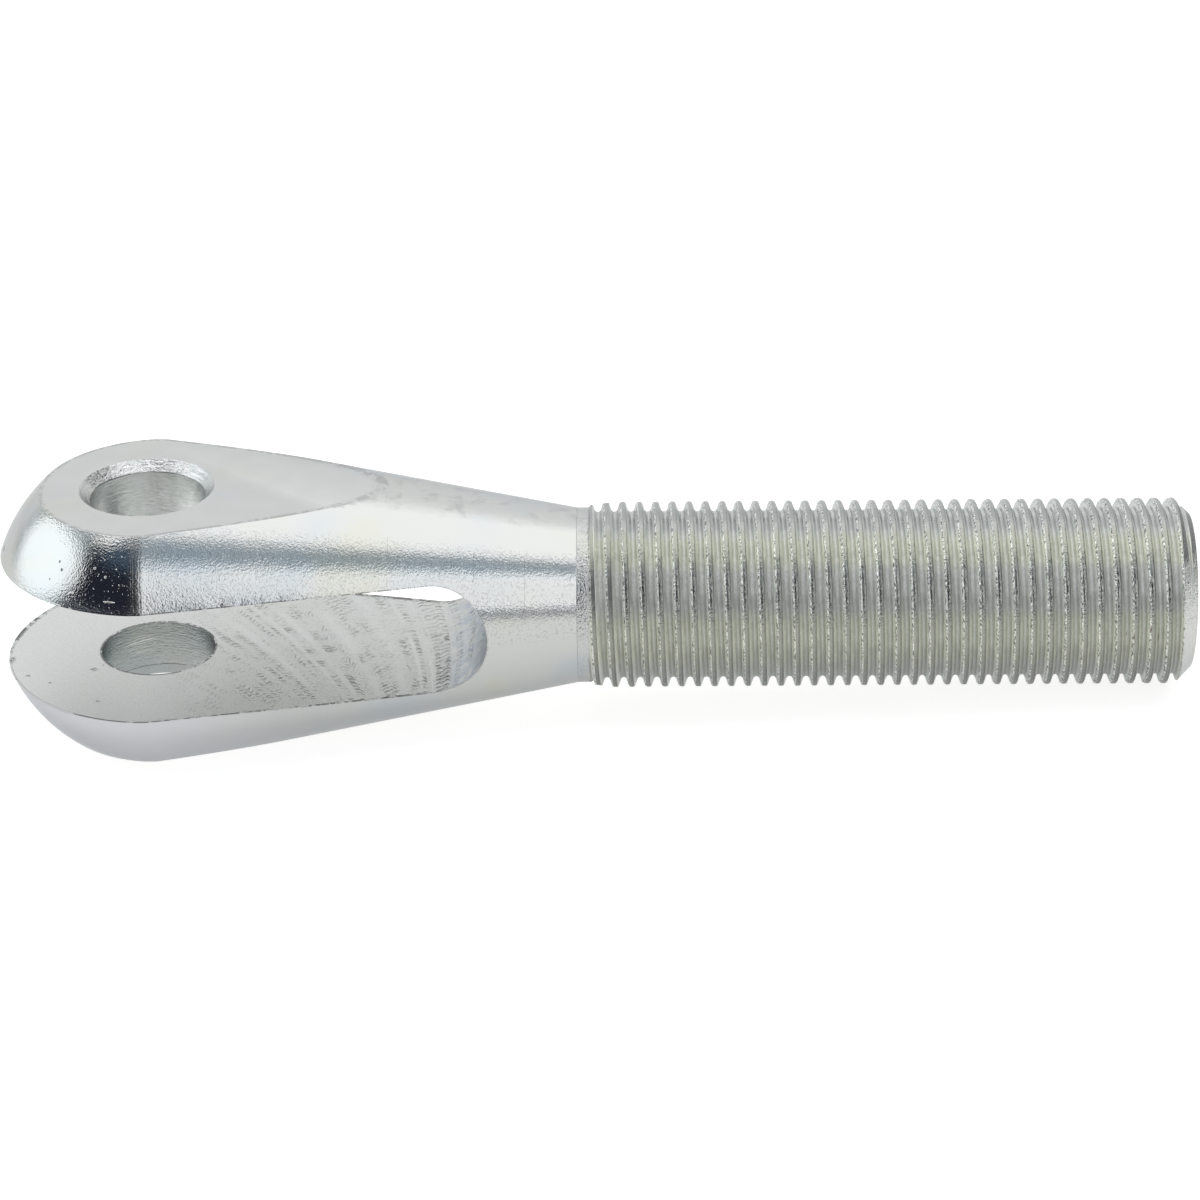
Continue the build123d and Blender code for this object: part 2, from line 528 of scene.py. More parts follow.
class Nodes:
    """Fills the node tree of a material or a world. Lengths inside a material are millimetres."""

    def __init__(self, owner):
        owner.use_nodes = True
        self.tree = owner.node_tree
        self.tree.nodes.clear()

    def add(self, kind, inputs=None, **settings):
        """Adds a node. Inputs are values or the sockets that feed them."""
        node = self.tree.nodes.new(kind)
        for name, value in settings.items():
            setattr(node, name, value)
        for name, value in (inputs or {}).items():
            if isinstance(value, bpy.types.NodeSocket):
                self.tree.links.new(value, node.inputs[name])
            else:
                node.inputs[name].default_value = value
        return node

    def math(self, operation, *values):
        return self.add("ShaderNodeMath", dict(enumerate(values)), operation=operation).outputs[0]

    def chain(self, operation, values):
        """Joins the values one after another by one operation."""
        result, *others = values
        for value in others:
            result = self.math(operation, result, value)
        return result

    def total(self, *values):
        """All the values added up."""
        return self.chain("ADD", values)

    def product(self, *values):
        """All the values multiplied together."""
        return self.chain("MULTIPLY", values)

    def most(self, *values):
        """The largest of the values."""
        return self.chain("MAXIMUM", values)

    def least(self, *values):
        """The smallest of the values."""
        return self.chain("MINIMUM", values)

    def weighed(self, *groups):
        """Each group of values multiplied together, and the groups added up."""
        return self.total(*[self.product(*group) for group in groups])

    def without(self, mask):
        """1 where a mask is 0, and 0 where it is 1."""
        return self.math("SUBTRACT", 1.0, mask)

    def vector(self, operation, *values):
        node = self.add("ShaderNodeVectorMath", dict(enumerate(values)), operation=operation)
        return node.outputs["Value" if operation == "LENGTH" else "Vector"]

    def joined(self, x, y, z):
        return self.add("ShaderNodeCombineXYZ", {0: x, 1: y, 2: z}).outputs[0]

    def split(self, vector):
        """A vector's X, Y and Z."""
        return self.add("ShaderNodeSeparateXYZ", {0: vector}).outputs

    def place(self):
        """The point on the piece, in millimetres."""
        point = self.add("ShaderNodeTexCoord").outputs["Object"]
        return self.vector("MULTIPLY", point, (1 / MM,) * 3)

    def noise(self, vector, size, detail=2.0, roughness=0.5, shift=None):
        """Noise from 0 to 1 with features of the given size. A shift makes it another pattern."""
        if shift:
            vector = self.vector("ADD", vector, shift)
        node = self.add("ShaderNodeTexNoise", {
            "Vector": vector, "Scale": 1 / size, "Detail": detail, "Roughness": roughness})
        return node.outputs["Fac"]

    def lines(self, value, size, detail=2.0):
        """Noise along one measure only, for rings and scratches."""
        node = self.add(
            "ShaderNodeTexNoise", {"W": value, "Scale": 1 / size, "Detail": detail}, noise_dimensions="1D")
        return node.outputs["Fac"]

    def step(self, value, start, end, low=0.0, high=1.0):
        """Eases from low to high as a value goes from start to end."""
        node = self.add("ShaderNodeMapRange", {
            "Value": value, "From Min": start, "From Max": end, "To Min": low, "To Max": high},
            interpolation_type="SMOOTHSTEP")
        return node.outputs["Result"]

    def band(self, value, rise, full, fade, end):
        """0 before rise, 1 from full to fade and 0 past end."""
        return self.product(self.step(value, rise, full), self.step(value, end, fade))

    def near(self, value, middle, reach):
        """1 where a value is at the middle, easing to 0 at its reach on either side."""
        away = self.math("ABSOLUTE", self.math("SUBTRACT", value, middle))
        return self.step(away, 0, reach, 1, 0)

    def spot(self, place, centre, radii):
        """1 in the middle of an ellipsoid, easing to 0 at its skin."""
        offset = self.vector("SUBTRACT", place, centre)
        return self.step(self.vector("LENGTH", self.vector("DIVIDE", offset, radii)), 0.4, 1, 1, 0)

    def mix(self, factor, first, second):
        """The first colour at 0 and the second at 1. The node takes them at 6 and 7, and gives one at 2."""
        inputs = {0: factor}
        for index, colour in ((6, first), (7, second)):
            inputs[index] = colour if isinstance(colour, bpy.types.NodeSocket) else (*colour, 1)
        return self.add("ShaderNodeMix", inputs, data_type="RGBA").outputs[2]

    def tinted(self, colour, *layers):
        """A colour taken towards the tone of each layer in turn.

        A layer is its tone and how much of it comes, as values that are multiplied together.
        """
        for tone, *amounts in layers:
            colour = self.mix(self.product(*amounts), colour, tone)
        return colour


# The plating's tint where it is seen at a slant
EDGE_TINT = (0.76, 0.77, 0.79, 1)

# Tones that the plating is taken towards in places, some of them painted light and painted shade
LAND_BROWN = (0.44, 0.41, 0.38)
# Painted shade and painted light on the end chamfer
END_PAINTED_SHADE = (0.20, 0.20, 0.20)
END_PAINTED_LIGHT = (0.80, 0.80, 0.79)
EAR_LILAC = (0.675, 0.68, 0.72)
# Painted shade on the undersides
UNDERSIDE_SHADE = (0.35, 0.35, 0.35)
FLAT_GREY = (0.60, 0.612, 0.607)
SLOT_GREY = (0.67, 0.685, 0.66)
SLOT_NOSE = (0.76, 0.775, 0.765)
SLOT_BLUE = (0.50, 0.55, 0.60)
# Pale for rubbed arcs, and painted light on the chatter's ridges
SLOT_RUBBED_AND_LIT = (0.72, 0.74, 0.73)
SLOT_SPECKS = (0.42, 0.43, 0.42)
# Bore tones: painted shade low down, painted light on the upper wall and the countersink, and a painted glint
# in streaks
BORE_SHADE_GREEN = (0.38, 0.46, 0.46)
BORE_WALL_LIT = (0.94, 0.96, 0.95)
BORE_MOTTLE = (0.50, 0.54, 0.50)
BORE_DRAWN = (0.46, 0.48, 0.46)
BORE_STREAK_GLINT = (0.90, 0.90, 0.88)
COUNTERSINK_LIT = (0.77, 0.77, 0.77)
COUNTERSINK_BACK_LIT = (0.97, 0.97, 0.96)
# Thread tones: painted light on the flanks and the front roots, painted shade on the roots and crests, a
# painted glint on the fold
THREAD_FLANK_LIT = (0.93, 0.94, 0.91)
THREAD_ROOT_SHADE = (0.64, 0.65, 0.62)
THREAD_CREST_SHADE = (0.33, 0.34, 0.31)
FOLD_GLINT = (0.97, 0.97, 0.95)
THREAD_MOTTLE = (0.42, 0.44, 0.41)
THREAD_DULL = (0.40, 0.41, 0.39)
PAINTED_ROOT_LIGHT = (0.95, 0.95, 0.93)
# What yellow areas of the thread are multiplied by
YELLOWING = (1.0, 1.0, 0.90)

# The floor's fibres, from darkest to palest
PAPER_TONES = ((0.50, 0.50, 0.475), (0.53, 0.53, 0.505))


def zinc(name, sizes, colours, finish):
    """A zinc-plated finish: finish gives its roughness, its relief in millimetres and its colour.

    A finish that is frosted in places also gives how metallic it is.
    """
    material = bpy.data.materials.new(name)
    nodes = Nodes(material)
    place = nodes.place()
    colour = nodes.mix(nodes.step(nodes.noise(place, 9), 0.45, 0.75), colours.plating, colours.blue_cast)
    patch = nodes.noise(place, 7, shift=(40, 7, 3))
    colour = nodes.mix(nodes.step(patch, 0.5, 0.8), colour, colours.yellow_cast)
    roughness, relief, colour, *metal = finish(nodes, place, colour, sizes, colours)
    normal = nodes.add("ShaderNodeBump", {"Height": relief, "Distance": MM, "Strength": 1.0})
    shader = nodes.add("ShaderNodeBsdfPrincipled", {
        "Base Color": colour, "Metallic": metal[0] if metal else 1.0, "Roughness": roughness,
        "Specular Tint": EDGE_TINT, "Normal": normal.outputs[0]})
    nodes.add("ShaderNodeOutputMaterial", {"Surface": shader.outputs[0]})
    return material


def from_rod_axis(nodes, place):
    """Distance from the rod's axis."""
    return nodes.vector("LENGTH", nodes.vector("MULTIPLY", place, (0, 1, 1)))


def under_skin(nodes, place, sizes):
    """Depth under the turned outside of the head."""
    x, y, z = nodes.split(place)
    from_axis = from_rod_axis(nodes, place)
    ahead = nodes.least(nodes.math("SUBTRACT", x, sizes.nose_centre / MM), 0)
    from_nose = nodes.vector("LENGTH", nodes.joined(ahead, y, z))
    under_nose = nodes.math("SUBTRACT", sizes.nose_radius / MM, from_nose)
    under_land = nodes.math("SUBTRACT", sizes.bar_radius / MM, from_axis)
    cone_at_bore = (sizes.bar_radius + sizes.taper * sizes.land_behind) / MM
    cone_here = nodes.math("MULTIPLY_ADD", x, -sizes.taper, cone_at_bore)
    under_cone = nodes.math("SUBTRACT", cone_here, from_axis)
    return nodes.least(under_land, under_cone, under_nose)


def beside_slot(nodes, place, sizes):
    """Distance outside the slot's outline."""
    half_width = sizes.slot_width / 2 / MM
    round_centre = sizes.slot_reach / MM - half_width
    x, _, z = nodes.split(place)
    past = nodes.most(nodes.math("SUBTRACT", x, round_centre), 0)
    aside = nodes.math("SUBTRACT", z, sizes.slot_rise / MM)
    from_middle = nodes.vector("LENGTH", nodes.joined(past, aside, 0.0))
    return nodes.math("SUBTRACT", from_middle, half_width)


def torn_edge(nodes, place, distance, width, bias=0.0):
    """A torn lip along an edge: where it is painted dark, as shade in its burr, and where it is raised bright.
    Bias above 0 is darker.
    """
    lip = nodes.step(distance, 0.4 * width, width, 1, 0)
    rough = nodes.total(nodes.noise(place, 0.9, detail=4, roughness=0.75), bias)
    fading = nodes.step(nodes.split(place)["X"], 21.0, 26.0, 1.0, 0.35)
    dark = nodes.product(lip, nodes.step(rough, 0.44, 0.50), fading)
    bright = nodes.product(lip, nodes.step(rough, 0.40, 0.34))
    return dark, bright


def slot_edge_bias(nodes, x, y):
    """The slot's near edge: burnished at the nose, with painted shade beside the bore, and mixed from there
    on.
    """
    bias = nodes.weighed(
        (nodes.step(x, -5.9, -6.5), -0.30), (nodes.band(x, -5.3, -4.7, 1.6, 2.8), 0.09), (-0.015,))
    return nodes.product(bias, nodes.step(y, -0.5, -1.5))


def marks(nodes, place, spots):
    """1 on each of some small spots, given by their centres and radii."""
    return nodes.most(*[nodes.spot(place, centre, radii) for centre, radii in spots])


# Marks of wear, as the middle and the radii of each, in millimetres
NOSE_PITS = (
    ((-6.2, -9.5, 8.2), (0.13, 0.13, 0.13)),
    ((-6.0, -10.05, 7.7), (0.16, 0.16, 0.16)),
    ((-7.1, -9.9, 6.8), (0.09, 0.09, 0.09)),
    ((-12.1, -2.4, 5.95), (0.35, 0.35, 0.35)),
    ((-12.2, -2.05, -4.83), (0.5, 0.5, 0.3)),
)
NOSE_NICKS = (
    ((-1.9, -12.7, 6.05), (0.60, 0.3, 0.06)),
    ((-2.2, -11.65, 7.8), (0.12, 0.12, 0.12)),
    ((-3.1, -11.0, 8.3), (0.14, 0.14, 0.12)),
    ((-5.0, -11.4, 6.3), (0.2, 0.2, 0.12)),
)
# Along the rod, and the heights that each scratch goes between
CONE_SCRATCHES = (
    (15.8, 6.0, 8.8),
    (20.6, 5.4, 8.2),
    (27.7, 4.6, 6.8),
    (31.9, 1.4, 5.8),
)
# Bright arcs that the cutter left smooth: place along the rod at its middle, and half width
SLOT_ARCS = (
    (6.4, 0.25),
    (9.2, 0.45),
    (12.2, 0.2),
    (13.6, 0.3),
    (16.65, 0.5),
    (19.8, 0.55),
    (21.9, 0.2),
    (23.2, 0.22),
)
SLOT_MARKS = (
    ((-10.56, -4.99, -4.83), (0.30, 0.22, 0.3)),
    ((-11.50, -5.55, -4.83), (0.18, 0.18, 0.3)),
    ((-12.30, -2.10, -4.83), (0.35, 0.80, 0.3)),
    ((-8.51, -6.28, -4.83), (0.20, 0.20, 0.3)),
    ((-4.01, -9.56, -4.83), (0.25, 0.25, 0.3)),
    ((-5.10, -3.90, -4.83), (0.45, 0.45, 0.3)),
    ((-4.33, -3.09, -4.83), (0.18, 0.20, 0.3)),
)
THREAD_STAINS = (
    ((82.66, -7.6, -0.3), (0.12, 1.0, 0.45)),
    ((84.75, -7.6, -0.9), (0.10, 1.0, 0.8)),
    ((84.04, -7.6, 0.3), (0.10, 1.0, 0.3)),
    ((82.1, -7.6, -0.5), (0.08, 1.0, 0.3)),
    ((80.7, -7.6, -1.0), (0.08, 1.0, 0.3)),
)


def turned_finish(nodes, place, colour, sizes, colours):
    """Lathe-turned: bright and pimpled on the nose, rings on the land, a finer grain on the cone."""
    x, y, z = nodes.split(place)
    on_nose = nodes.step(x, -1.0, 1.5, 1, 0)
    land = nodes.near(x, 0.1, 1.1)
    neck_edge = sizes.cone_end / MM
    neck = nodes.step(x, neck_edge - 0.02, neck_edge + 0.02)
    uneven = nodes.math("MULTIPLY_ADD", nodes.noise(place, 2.5, detail=1), 0.5, x)
    ring_depth = nodes.weighed((land, 0.028), (neck, 0.03), (0.001,))
    grain_depth = nodes.weighed((on_nose, 0.003), (neck, 0.09), (0.018,))
    pimples = nodes.step(nodes.noise(place, 0.24, roughness=0.6), 0.66, 0.76)
    beside_land = nodes.band(x, -6.5, -2.5, -0.5, 0.5)
    # Torn along the slot, on the upper ear for some way up, with painted shade along the lip
    past_slot = beside_slot(nodes, place, sizes)
    dark_lip, bright_lip = torn_edge(nodes, place, past_slot, 0.13, slot_edge_bias(nodes, x, y))
    above = nodes.product(
        nodes.step(z, 0, 1), nodes.band(x, 2, 5, 9, 20), nodes.step(past_slot, 0.1, 1.1, 1, 0),
        nodes.step(nodes.noise(place, 1.3), 0.36, 0.60, 0.3, 1.0))
    ragged = nodes.product(above, nodes.noise(place, 0.26, detail=3, roughness=0.7))
    # Scratches round the cone, broken up, with knocks and pits on the nose
    broken = nodes.product(nodes.step(y, -2, -1, 1, 0), nodes.step(nodes.noise(place, 0.8), 0.42, 0.58))
    scratch = nodes.product(broken, nodes.most(*[
        nodes.product(nodes.near(x, along, 0.07), nodes.band(z, low - 0.5, low, high, high + 0.5))
        for along, low, high in CONE_SCRATCHES]))
    pits = marks(nodes, place, NOSE_PITS)
    relief = nodes.weighed(
        (nodes.noise(place, 0.17), grain_depth), (nodes.noise(place, 0.8, detail=1), 0.008),
        (nodes.lines(uneven, 0.16), ring_depth), (pimples, beside_land, 0.02), (ragged, 0.05),
        (bright_lip, 0.06), (pits, -0.02), (marks(nodes, place, NOSE_NICKS), 0.12))
    # Dull on top of the cone, behind the bright band, with dark smudges
    wander = nodes.math("MULTIPLY_ADD", nodes.noise(place, 0.5, detail=3), 0.02, -0.01)
    upward = nodes.total(nodes.math("DIVIDE", z, from_rod_axis(nodes, place)), wander)
    dull = nodes.product(nodes.step(upward, 0.93, 0.955), nodes.step(x, 16.0, 19.0))
    side = nodes.product(nodes.band(upward, -0.1, 0.05, 0.76, 0.84), nodes.step(x, 1, 2))
    speckle = nodes.step(nodes.noise(place, 0.20, detail=3, shift=(9, 0, 0)), 0.48, 0.70)
    smudge = nodes.step(nodes.noise(place, 1.6, detail=4, roughness=0.65), 0.48, 0.72)
    # Dirt and wear, with the torn lip's painted shade
    dirt_and_shade = nodes.weighed(
        (dull, smudge, 0.20), (scratch, 0.3), (pits, 0.75), (dark_lip, 0.7), (ragged, 0.10),
        (side, speckle, 0.22))
    end_band = nodes.band(x, 80, 84, SHANK_END / MM - 0.1, SHANK_END / MM)
    colour = nodes.tinted(
        colour,
        (colours.grime_and_shade, nodes.least(dirt_and_shade, 1.0)),
        (LAND_BROWN, land, nodes.step(z, 0, 1), 0.45),
        # Painted shade on top of the end chamfer, and painted light below it
        (END_PAINTED_SHADE, end_band, nodes.step(z, 5.0, 5.8), nodes.step(y, 3, 0), 0.85),
        (END_PAINTED_LIGHT, end_band, nodes.step(z, 4.5, 3.0), 0.7),
        # The lower ear's side is lilac, and all the undersides get a painted shade
        (EAR_LILAC, nodes.step(x, 14, 4), nodes.step(z, -4, -5), 0.8),
        (UNDERSIDE_SHADE, nodes.step(z, -5.0, -7.5), 0.12))
    polish = nodes.step(x, -1.0, 2.0, 0.09, 0.15)
    roughness = nodes.weighed((polish,), (dull, 0.08), (land, 0.10), (neck, 0.06))
    return roughness, relief, colour


def flat_finish(nodes, place, colour, sizes, colours):
    """The outer flats: fine, even and nearly matt."""
    dark_rim, bright_rim = torn_edge(nodes, place, under_skin(nodes, place, sizes), 0.30)
    colour = nodes.mix(0.6, colour, FLAT_GREY)
    cloudy = nodes.step(nodes.noise(place, 2.2), 0.3, 0.7, 1.03, 1.06)
    colour = nodes.vector("MULTIPLY", colour, cloudy)
    # The rim is darkened, a painted shade along the torn edge
    colour = nodes.tinted(colour, (colours.grime_and_shade, dark_rim, 0.30))
    relief = nodes.weighed((nodes.noise(place, 0.20, detail=1), 0.010), (bright_rim, 0.05))
    return 0.36, relief, colour


def slot_finish(nodes, place, colour, sizes, colours):
    """The slot: smooth arcs left by the cutter, and columns of chatter marks square to them."""
    x, y, z = nodes.split(place)
    # Where a point lies across the arcs, by their place on the slot's middle line, and along them
    fan = nodes.math("MULTIPLY_ADD", y, 0.036, 1.0)
    across = nodes.math("DIVIDE", nodes.weighed((x,), (y,), (y, y, 1 / 120)), fan)
    along = nodes.weighed((y,), (x, -1.0), (x, x, 0.018))
    ravel = nodes.math("MULTIPLY_ADD", nodes.noise(place, 0.7), 0.5, -0.25)
    ravelled = nodes.total(across, ravel)
    arcs = nodes.most(*[nodes.near(ravelled, middle, 1.6 * half) for middle, half in SLOT_ARCS])
    rubbed = nodes.product(arcs, nodes.step(nodes.noise(place, 5.0, detail=1), 0.32, 0.55))
    unrubbed = nodes.without(rubbed)
    # Chatter: ridges in columns between the arcs, strongest just before the round end
    phase = nodes.weighed(
        (along, 1 / 0.68), (nodes.lines(across, 1.1, detail=1), 2.4),
        (nodes.noise(place, 1.1, detail=3), 1.9))
    ridge = nodes.math("SINE", nodes.product(phase, math.tau))
    column = nodes.step(nodes.lines(nodes.total(across, 31.0), 0.85, detail=1), 0.43, 0.55)
    strong = nodes.near(x, 24.6, 4.0)
    strength = nodes.most(nodes.step(x, -1.0, 8.0, 0.0, 0.66), strong)
    patch = nodes.step(nodes.noise(place, 2.4, shift=(20, 0, 0)), 0.42, 0.60)
    patch = nodes.most(patch, nodes.product(strong, 0.6))
    ragged = nodes.step(nodes.noise(place, 0.5, shift=(0, 0, 11)), 0.36, 0.54, 0.25, 1.0)
    chatter = nodes.product(column, patch, strength, unrubbed, ragged)
    # Short scuffs everywhere, fainter towards the nose
    lattice = nodes.joined(nodes.product(across, 1 / 0.42), nodes.product(along, 1 / 0.17), z)
    scuff = nodes.noise(lattice, 1.0, roughness=0.6)
    scuffs = nodes.product(nodes.step(x, -10.0, 8.0, 0.35, 1.0), unrubbed)
    # Torn along the outside, wider on the far side, and chipped round the bore, with painted shade along the
    # lip
    from_outside = nodes.product(under_skin(nodes, place, sizes), nodes.step(y, -3, 3, 1.8, 0.8))
    from_bore_axis = nodes.vector("LENGTH", nodes.vector("MULTIPLY", place, (1, 1, 0)))
    from_bore = nodes.math("MULTIPLY_ADD", from_bore_axis, 1.6, -1.6 * BORE_RADIUS / MM)
    from_edge = nodes.least(from_outside, from_bore)
    dark_lip, bright_lip = torn_edge(nodes, place, from_edge, 0.42, slot_edge_bias(nodes, x, y))
    specks = nodes.noise(place, 0.20)
    relief = nodes.weighed(
        (specks, 0.012), (ridge, chatter, 0.042), (scuff, scuffs, 0.035), (rubbed, 0.02),
        (bright_lip, 0.08))
    # Paler towards the nose, bluish at the round end, pale on rubbed arcs and painted light on the ridges
    bluish = nodes.step(nodes.noise(place, 1.2, detail=3), 0.3, 0.6)
    # Dirt, with painted shade in the chatter's grooves, in the scuffs' hollows and along the torn lip
    dirt_and_shade = nodes.weighed(
        (chatter, nodes.step(ridge, -0.1, -0.8), 0.66), (scuffs, nodes.step(scuff, 0.40, 0.26), 0.55),
        (dark_lip, 0.85), (marks(nodes, place, SLOT_MARKS), nodes.step(specks, 0.40, 0.56), 0.8))
    colour = nodes.tinted(
        colour,
        (SLOT_GREY, 0.8),
        (SLOT_NOSE, nodes.step(x, 13.0, -3.0), 0.7),
        (SLOT_BLUE, nodes.step(x, 24.2, 26.5), bluish, 0.9),
        (SLOT_RUBBED_AND_LIT, nodes.weighed((rubbed, 0.45), (chatter, nodes.step(ridge, 0.2, 0.9), 0.4))),
        (SLOT_SPECKS, nodes.step(specks, 0.35, 0.65, 0.15, 0.0)),
        (colours.grime_and_shade, nodes.least(dirt_and_shade, 1.0)))
    return 0.33, relief, colour


def bore_finish(nodes, place, colour, sizes, colours):
    """Drilled: rings round the bore, and a countersink on top that is torn at the back."""
    x, y, z = nodes.split(place)
    off_middle = nodes.math("ABSOLUTE", x)
    wander = nodes.math("MULTIPLY_ADD", nodes.noise(place, 4.0, detail=1), 0.8, z)
    upper_rim = (UPPER_FLAT - sizes.upper_countersink) / MM
    lower_rim = (LOWER_FLAT + sizes.lower_countersink) / MM
    countersink = nodes.step(z, upper_rim - 0.1, upper_rim + 0.05)
    # Torn behind, worst on the nose's side, and smooth towards the thread
    stretched = nodes.vector("MULTIPLY", place, (1, 1, 1.6))
    rough = nodes.noise(stretched, 0.45, detail=3, roughness=0.7)
    torn = nodes.product(countersink, nodes.step(y, 0.5, 3.0), nodes.step(x, 3.3, 2.3))
    drawn = nodes.noise(nodes.vector("MULTIPLY", place, (1, 1, 5)), 0.9, detail=3, roughness=0.6)
    relief = nodes.weighed(
        (nodes.noise(place, 0.2), 0.016), (nodes.lines(wander, 0.2), 0.015), (rough, torn, 0.16),
        (drawn, 0.05))
    # Painted shade low down, greenish, and painted light on the upper wall and brighter on the countersink,
    # with drawn streaks
    aside = nodes.step(off_middle, 1.5, 3.5, 0.25, 0.95)
    # A patch of pale streaks is a painted glint on the drilled rings
    streaked = nodes.spot(place, (-2.2, 4.3, -6.8), (2.2, 1.6, 1.1))
    streak = nodes.step(nodes.lines(wander, 0.16, detail=1), 0.54, 0.62)
    # Dark where the countersink is torn, and painted shade in the crease where the lower one starts
    crease_shade = nodes.near(nodes.math("MULTIPLY_ADD", rough, 0.16, z), lower_rim + 0.08, 0.10)
    crease_shade = nodes.product(crease_shade, nodes.step(x, 2.0, 1.2), 0.8)
    dark = nodes.product(torn, nodes.step(rough, 0.44, 0.37), nodes.step(x, 0, -4, 0.22, 0.65))
    colour = nodes.tinted(
        colour,
        (BORE_SHADE_GREEN, nodes.step(x, 1.5, -4.0), nodes.step(z, 0.0, -4.0), 0.40),
        (BORE_WALL_LIT, aside, nodes.step(z, 0.0, 4.0), nodes.without(countersink)),
        (COUNTERSINK_LIT, countersink, nodes.step(x, -3.0, -1.0), 0.75),
        (COUNTERSINK_BACK_LIT, countersink, nodes.step(y, 1.0, 3.0), nodes.step(off_middle, 4.5, 3.0), 0.8),
        (BORE_MOTTLE, nodes.step(nodes.noise(place, 0.9, detail=3), 0.35, 0.65), 0.25),
        (BORE_DRAWN, nodes.step(drawn, 0.42, 0.62), 0.20),
        (BORE_STREAK_GLINT, streaked, streak, 0.8),
        (colours.grime_and_shade, nodes.most(dark, crease_shade)))
    return nodes.step(z, 0.0, 4.0, 0.26, 0.32), relief, colour


def thread_finish(nodes, place, colour, sizes, colours):
    """Rolled thread: folded metal on each crest's side towards the fork, dull roots, brown spots, and painted
    light and shade by the tooth's profile and round the rod.
    """
    x, y, z = nodes.split(place)
    turn = nodes.math("ARCTAN2", nodes.math("MULTIPLY", y, -1), z)
    along = nodes.math("MULTIPLY_ADD", x, MM / sizes.thread_pitch, -sizes.first_crest / sizes.thread_pitch)
    phase = nodes.math("SUBTRACT", along, nodes.product(turn, 1 / math.tau))
    # Distance from the middle of the nearest crest along the rod, below 0 on the fork's side
    ahead = nodes.math("SUBTRACT", phase, nodes.math("ROUND", phase))
    ahead = nodes.product(ahead, sizes.thread_pitch / MM)
    from_crest = nodes.math("ABSOLUTE", ahead)
    # Degrees round the rod, from 0 on top through 90 in front to 180 underneath
    degrees = nodes.product(turn, 180 / math.pi)
    worn = nodes.noise(place, 0.35, detail=3, roughness=0.7)
    frayed = nodes.total(ahead, nodes.math("MULTIPLY_ADD", worn, 0.20, -0.10))
    fold = nodes.band(frayed, -0.36, -0.31, -0.20, -0.15)
    jag = nodes.noise(place, 0.22, roughness=0.6)
    on_crest = nodes.band(ahead, -0.20, -0.12, 0.15, 0.24)
    in_root = nodes.step(from_crest, 0.44, 0.56)
    off_flank = nodes.most(on_crest, in_root)
    on_flank = nodes.without(off_flank)
    on_top = nodes.step(degrees, 14, 2)
    # The flanks are shaded less steep than they stand
    eased = nodes.least(nodes.most(from_crest, 0.25), 0.44)
    grain_depth = nodes.step(degrees, 0, 25, 0.006, 0.05)
    relief = nodes.weighed(
        (eased, 0.8), (nodes.noise(place, 0.20), grain_depth), (worn, on_crest, 0.05), (jag, fold, 0.09))
    colour = nodes.tinted(
        colour,
        # Painted light makes the rolled flanks pale, and painted shade darkens the crests and the roots
        (THREAD_FLANK_LIT, 0.9),
        (THREAD_ROOT_SHADE, in_root, 0.8),
        (THREAD_CREST_SHADE, on_crest, 0.9),
        # Painted shade along the far corner in front, on the low crests and on top
        (colours.grime_and_shade, on_crest, nodes.step(ahead, 0.02, 0.10), nodes.step(degrees, 36, 46), 0.40),
        (colours.grime_and_shade, on_crest, nodes.step(degrees, 68, 76), 0.18),
        (colours.grime_and_shade, off_flank, nodes.band(degrees, -4, 2, 12, 18), 0.30),
        # Painted light on the roots in front, and painted shade on the crests and roots underneath
        (PAINTED_ROOT_LIGHT, nodes.band(degrees, 36, 42, 62, 70), nodes.step(from_crest, 0.40, 0.50), 0.7),
        (colours.grime_and_shade, off_flank, nodes.step(degrees, 98, 110), 0.22),
        # The fold is painted near white, a painted glint along each crest
        (FOLD_GLINT, fold, 0.8),
        (THREAD_MOTTLE, nodes.step(nodes.noise(place, 0.28), 0.34, 0.62), 0.22),
        (THREAD_DULL, nodes.step(nodes.noise(place, 1.7), 0.42, 0.60), 0.12))
    # Passivate: yellow in front and again towards the underside, and bluish on top
    yellow = nodes.weighed(
        (0.1,), (nodes.band(degrees, 20, 26, 43, 50), 0.6), (nodes.band(degrees, 74, 82, 112, 120), 0.5))
    colour = nodes.mix(yellow, colour, nodes.vector("MULTIPLY", colour, YELLOWING))
    colour = nodes.tinted(
        colour,
        (colours.blue_cast, nodes.band(degrees, -60, -40, 14, 24), 0.3),
        # Dark specks in the fold are painted shade
        (colours.grime_and_shade, fold, nodes.step(jag, 0.50, 0.43), 0.8),
        (colours.stain, marks(nodes, place, THREAD_STAINS), nodes.step(worn, 0.3, 0.5), 0.85))
    # Dullest in the roots and where the thread starts
    start = sizes.thread_start / MM
    roughness = nodes.weighed(
        (0.22,), (on_flank, nodes.step(fold, 0.0, 0.5, 0.12, 0.0)), (fold, -0.08), (in_root, 0.14),
        (on_top, -0.12), (nodes.step(x, start + 3.0, start + 2.0), 0.15))
    frosted = nodes.most(nodes.product(in_root, 0.5), nodes.product(on_flank, 0.12))
    metal = nodes.without(nodes.product(frosted, nodes.without(on_top)))
    return roughness, relief, colour, metal


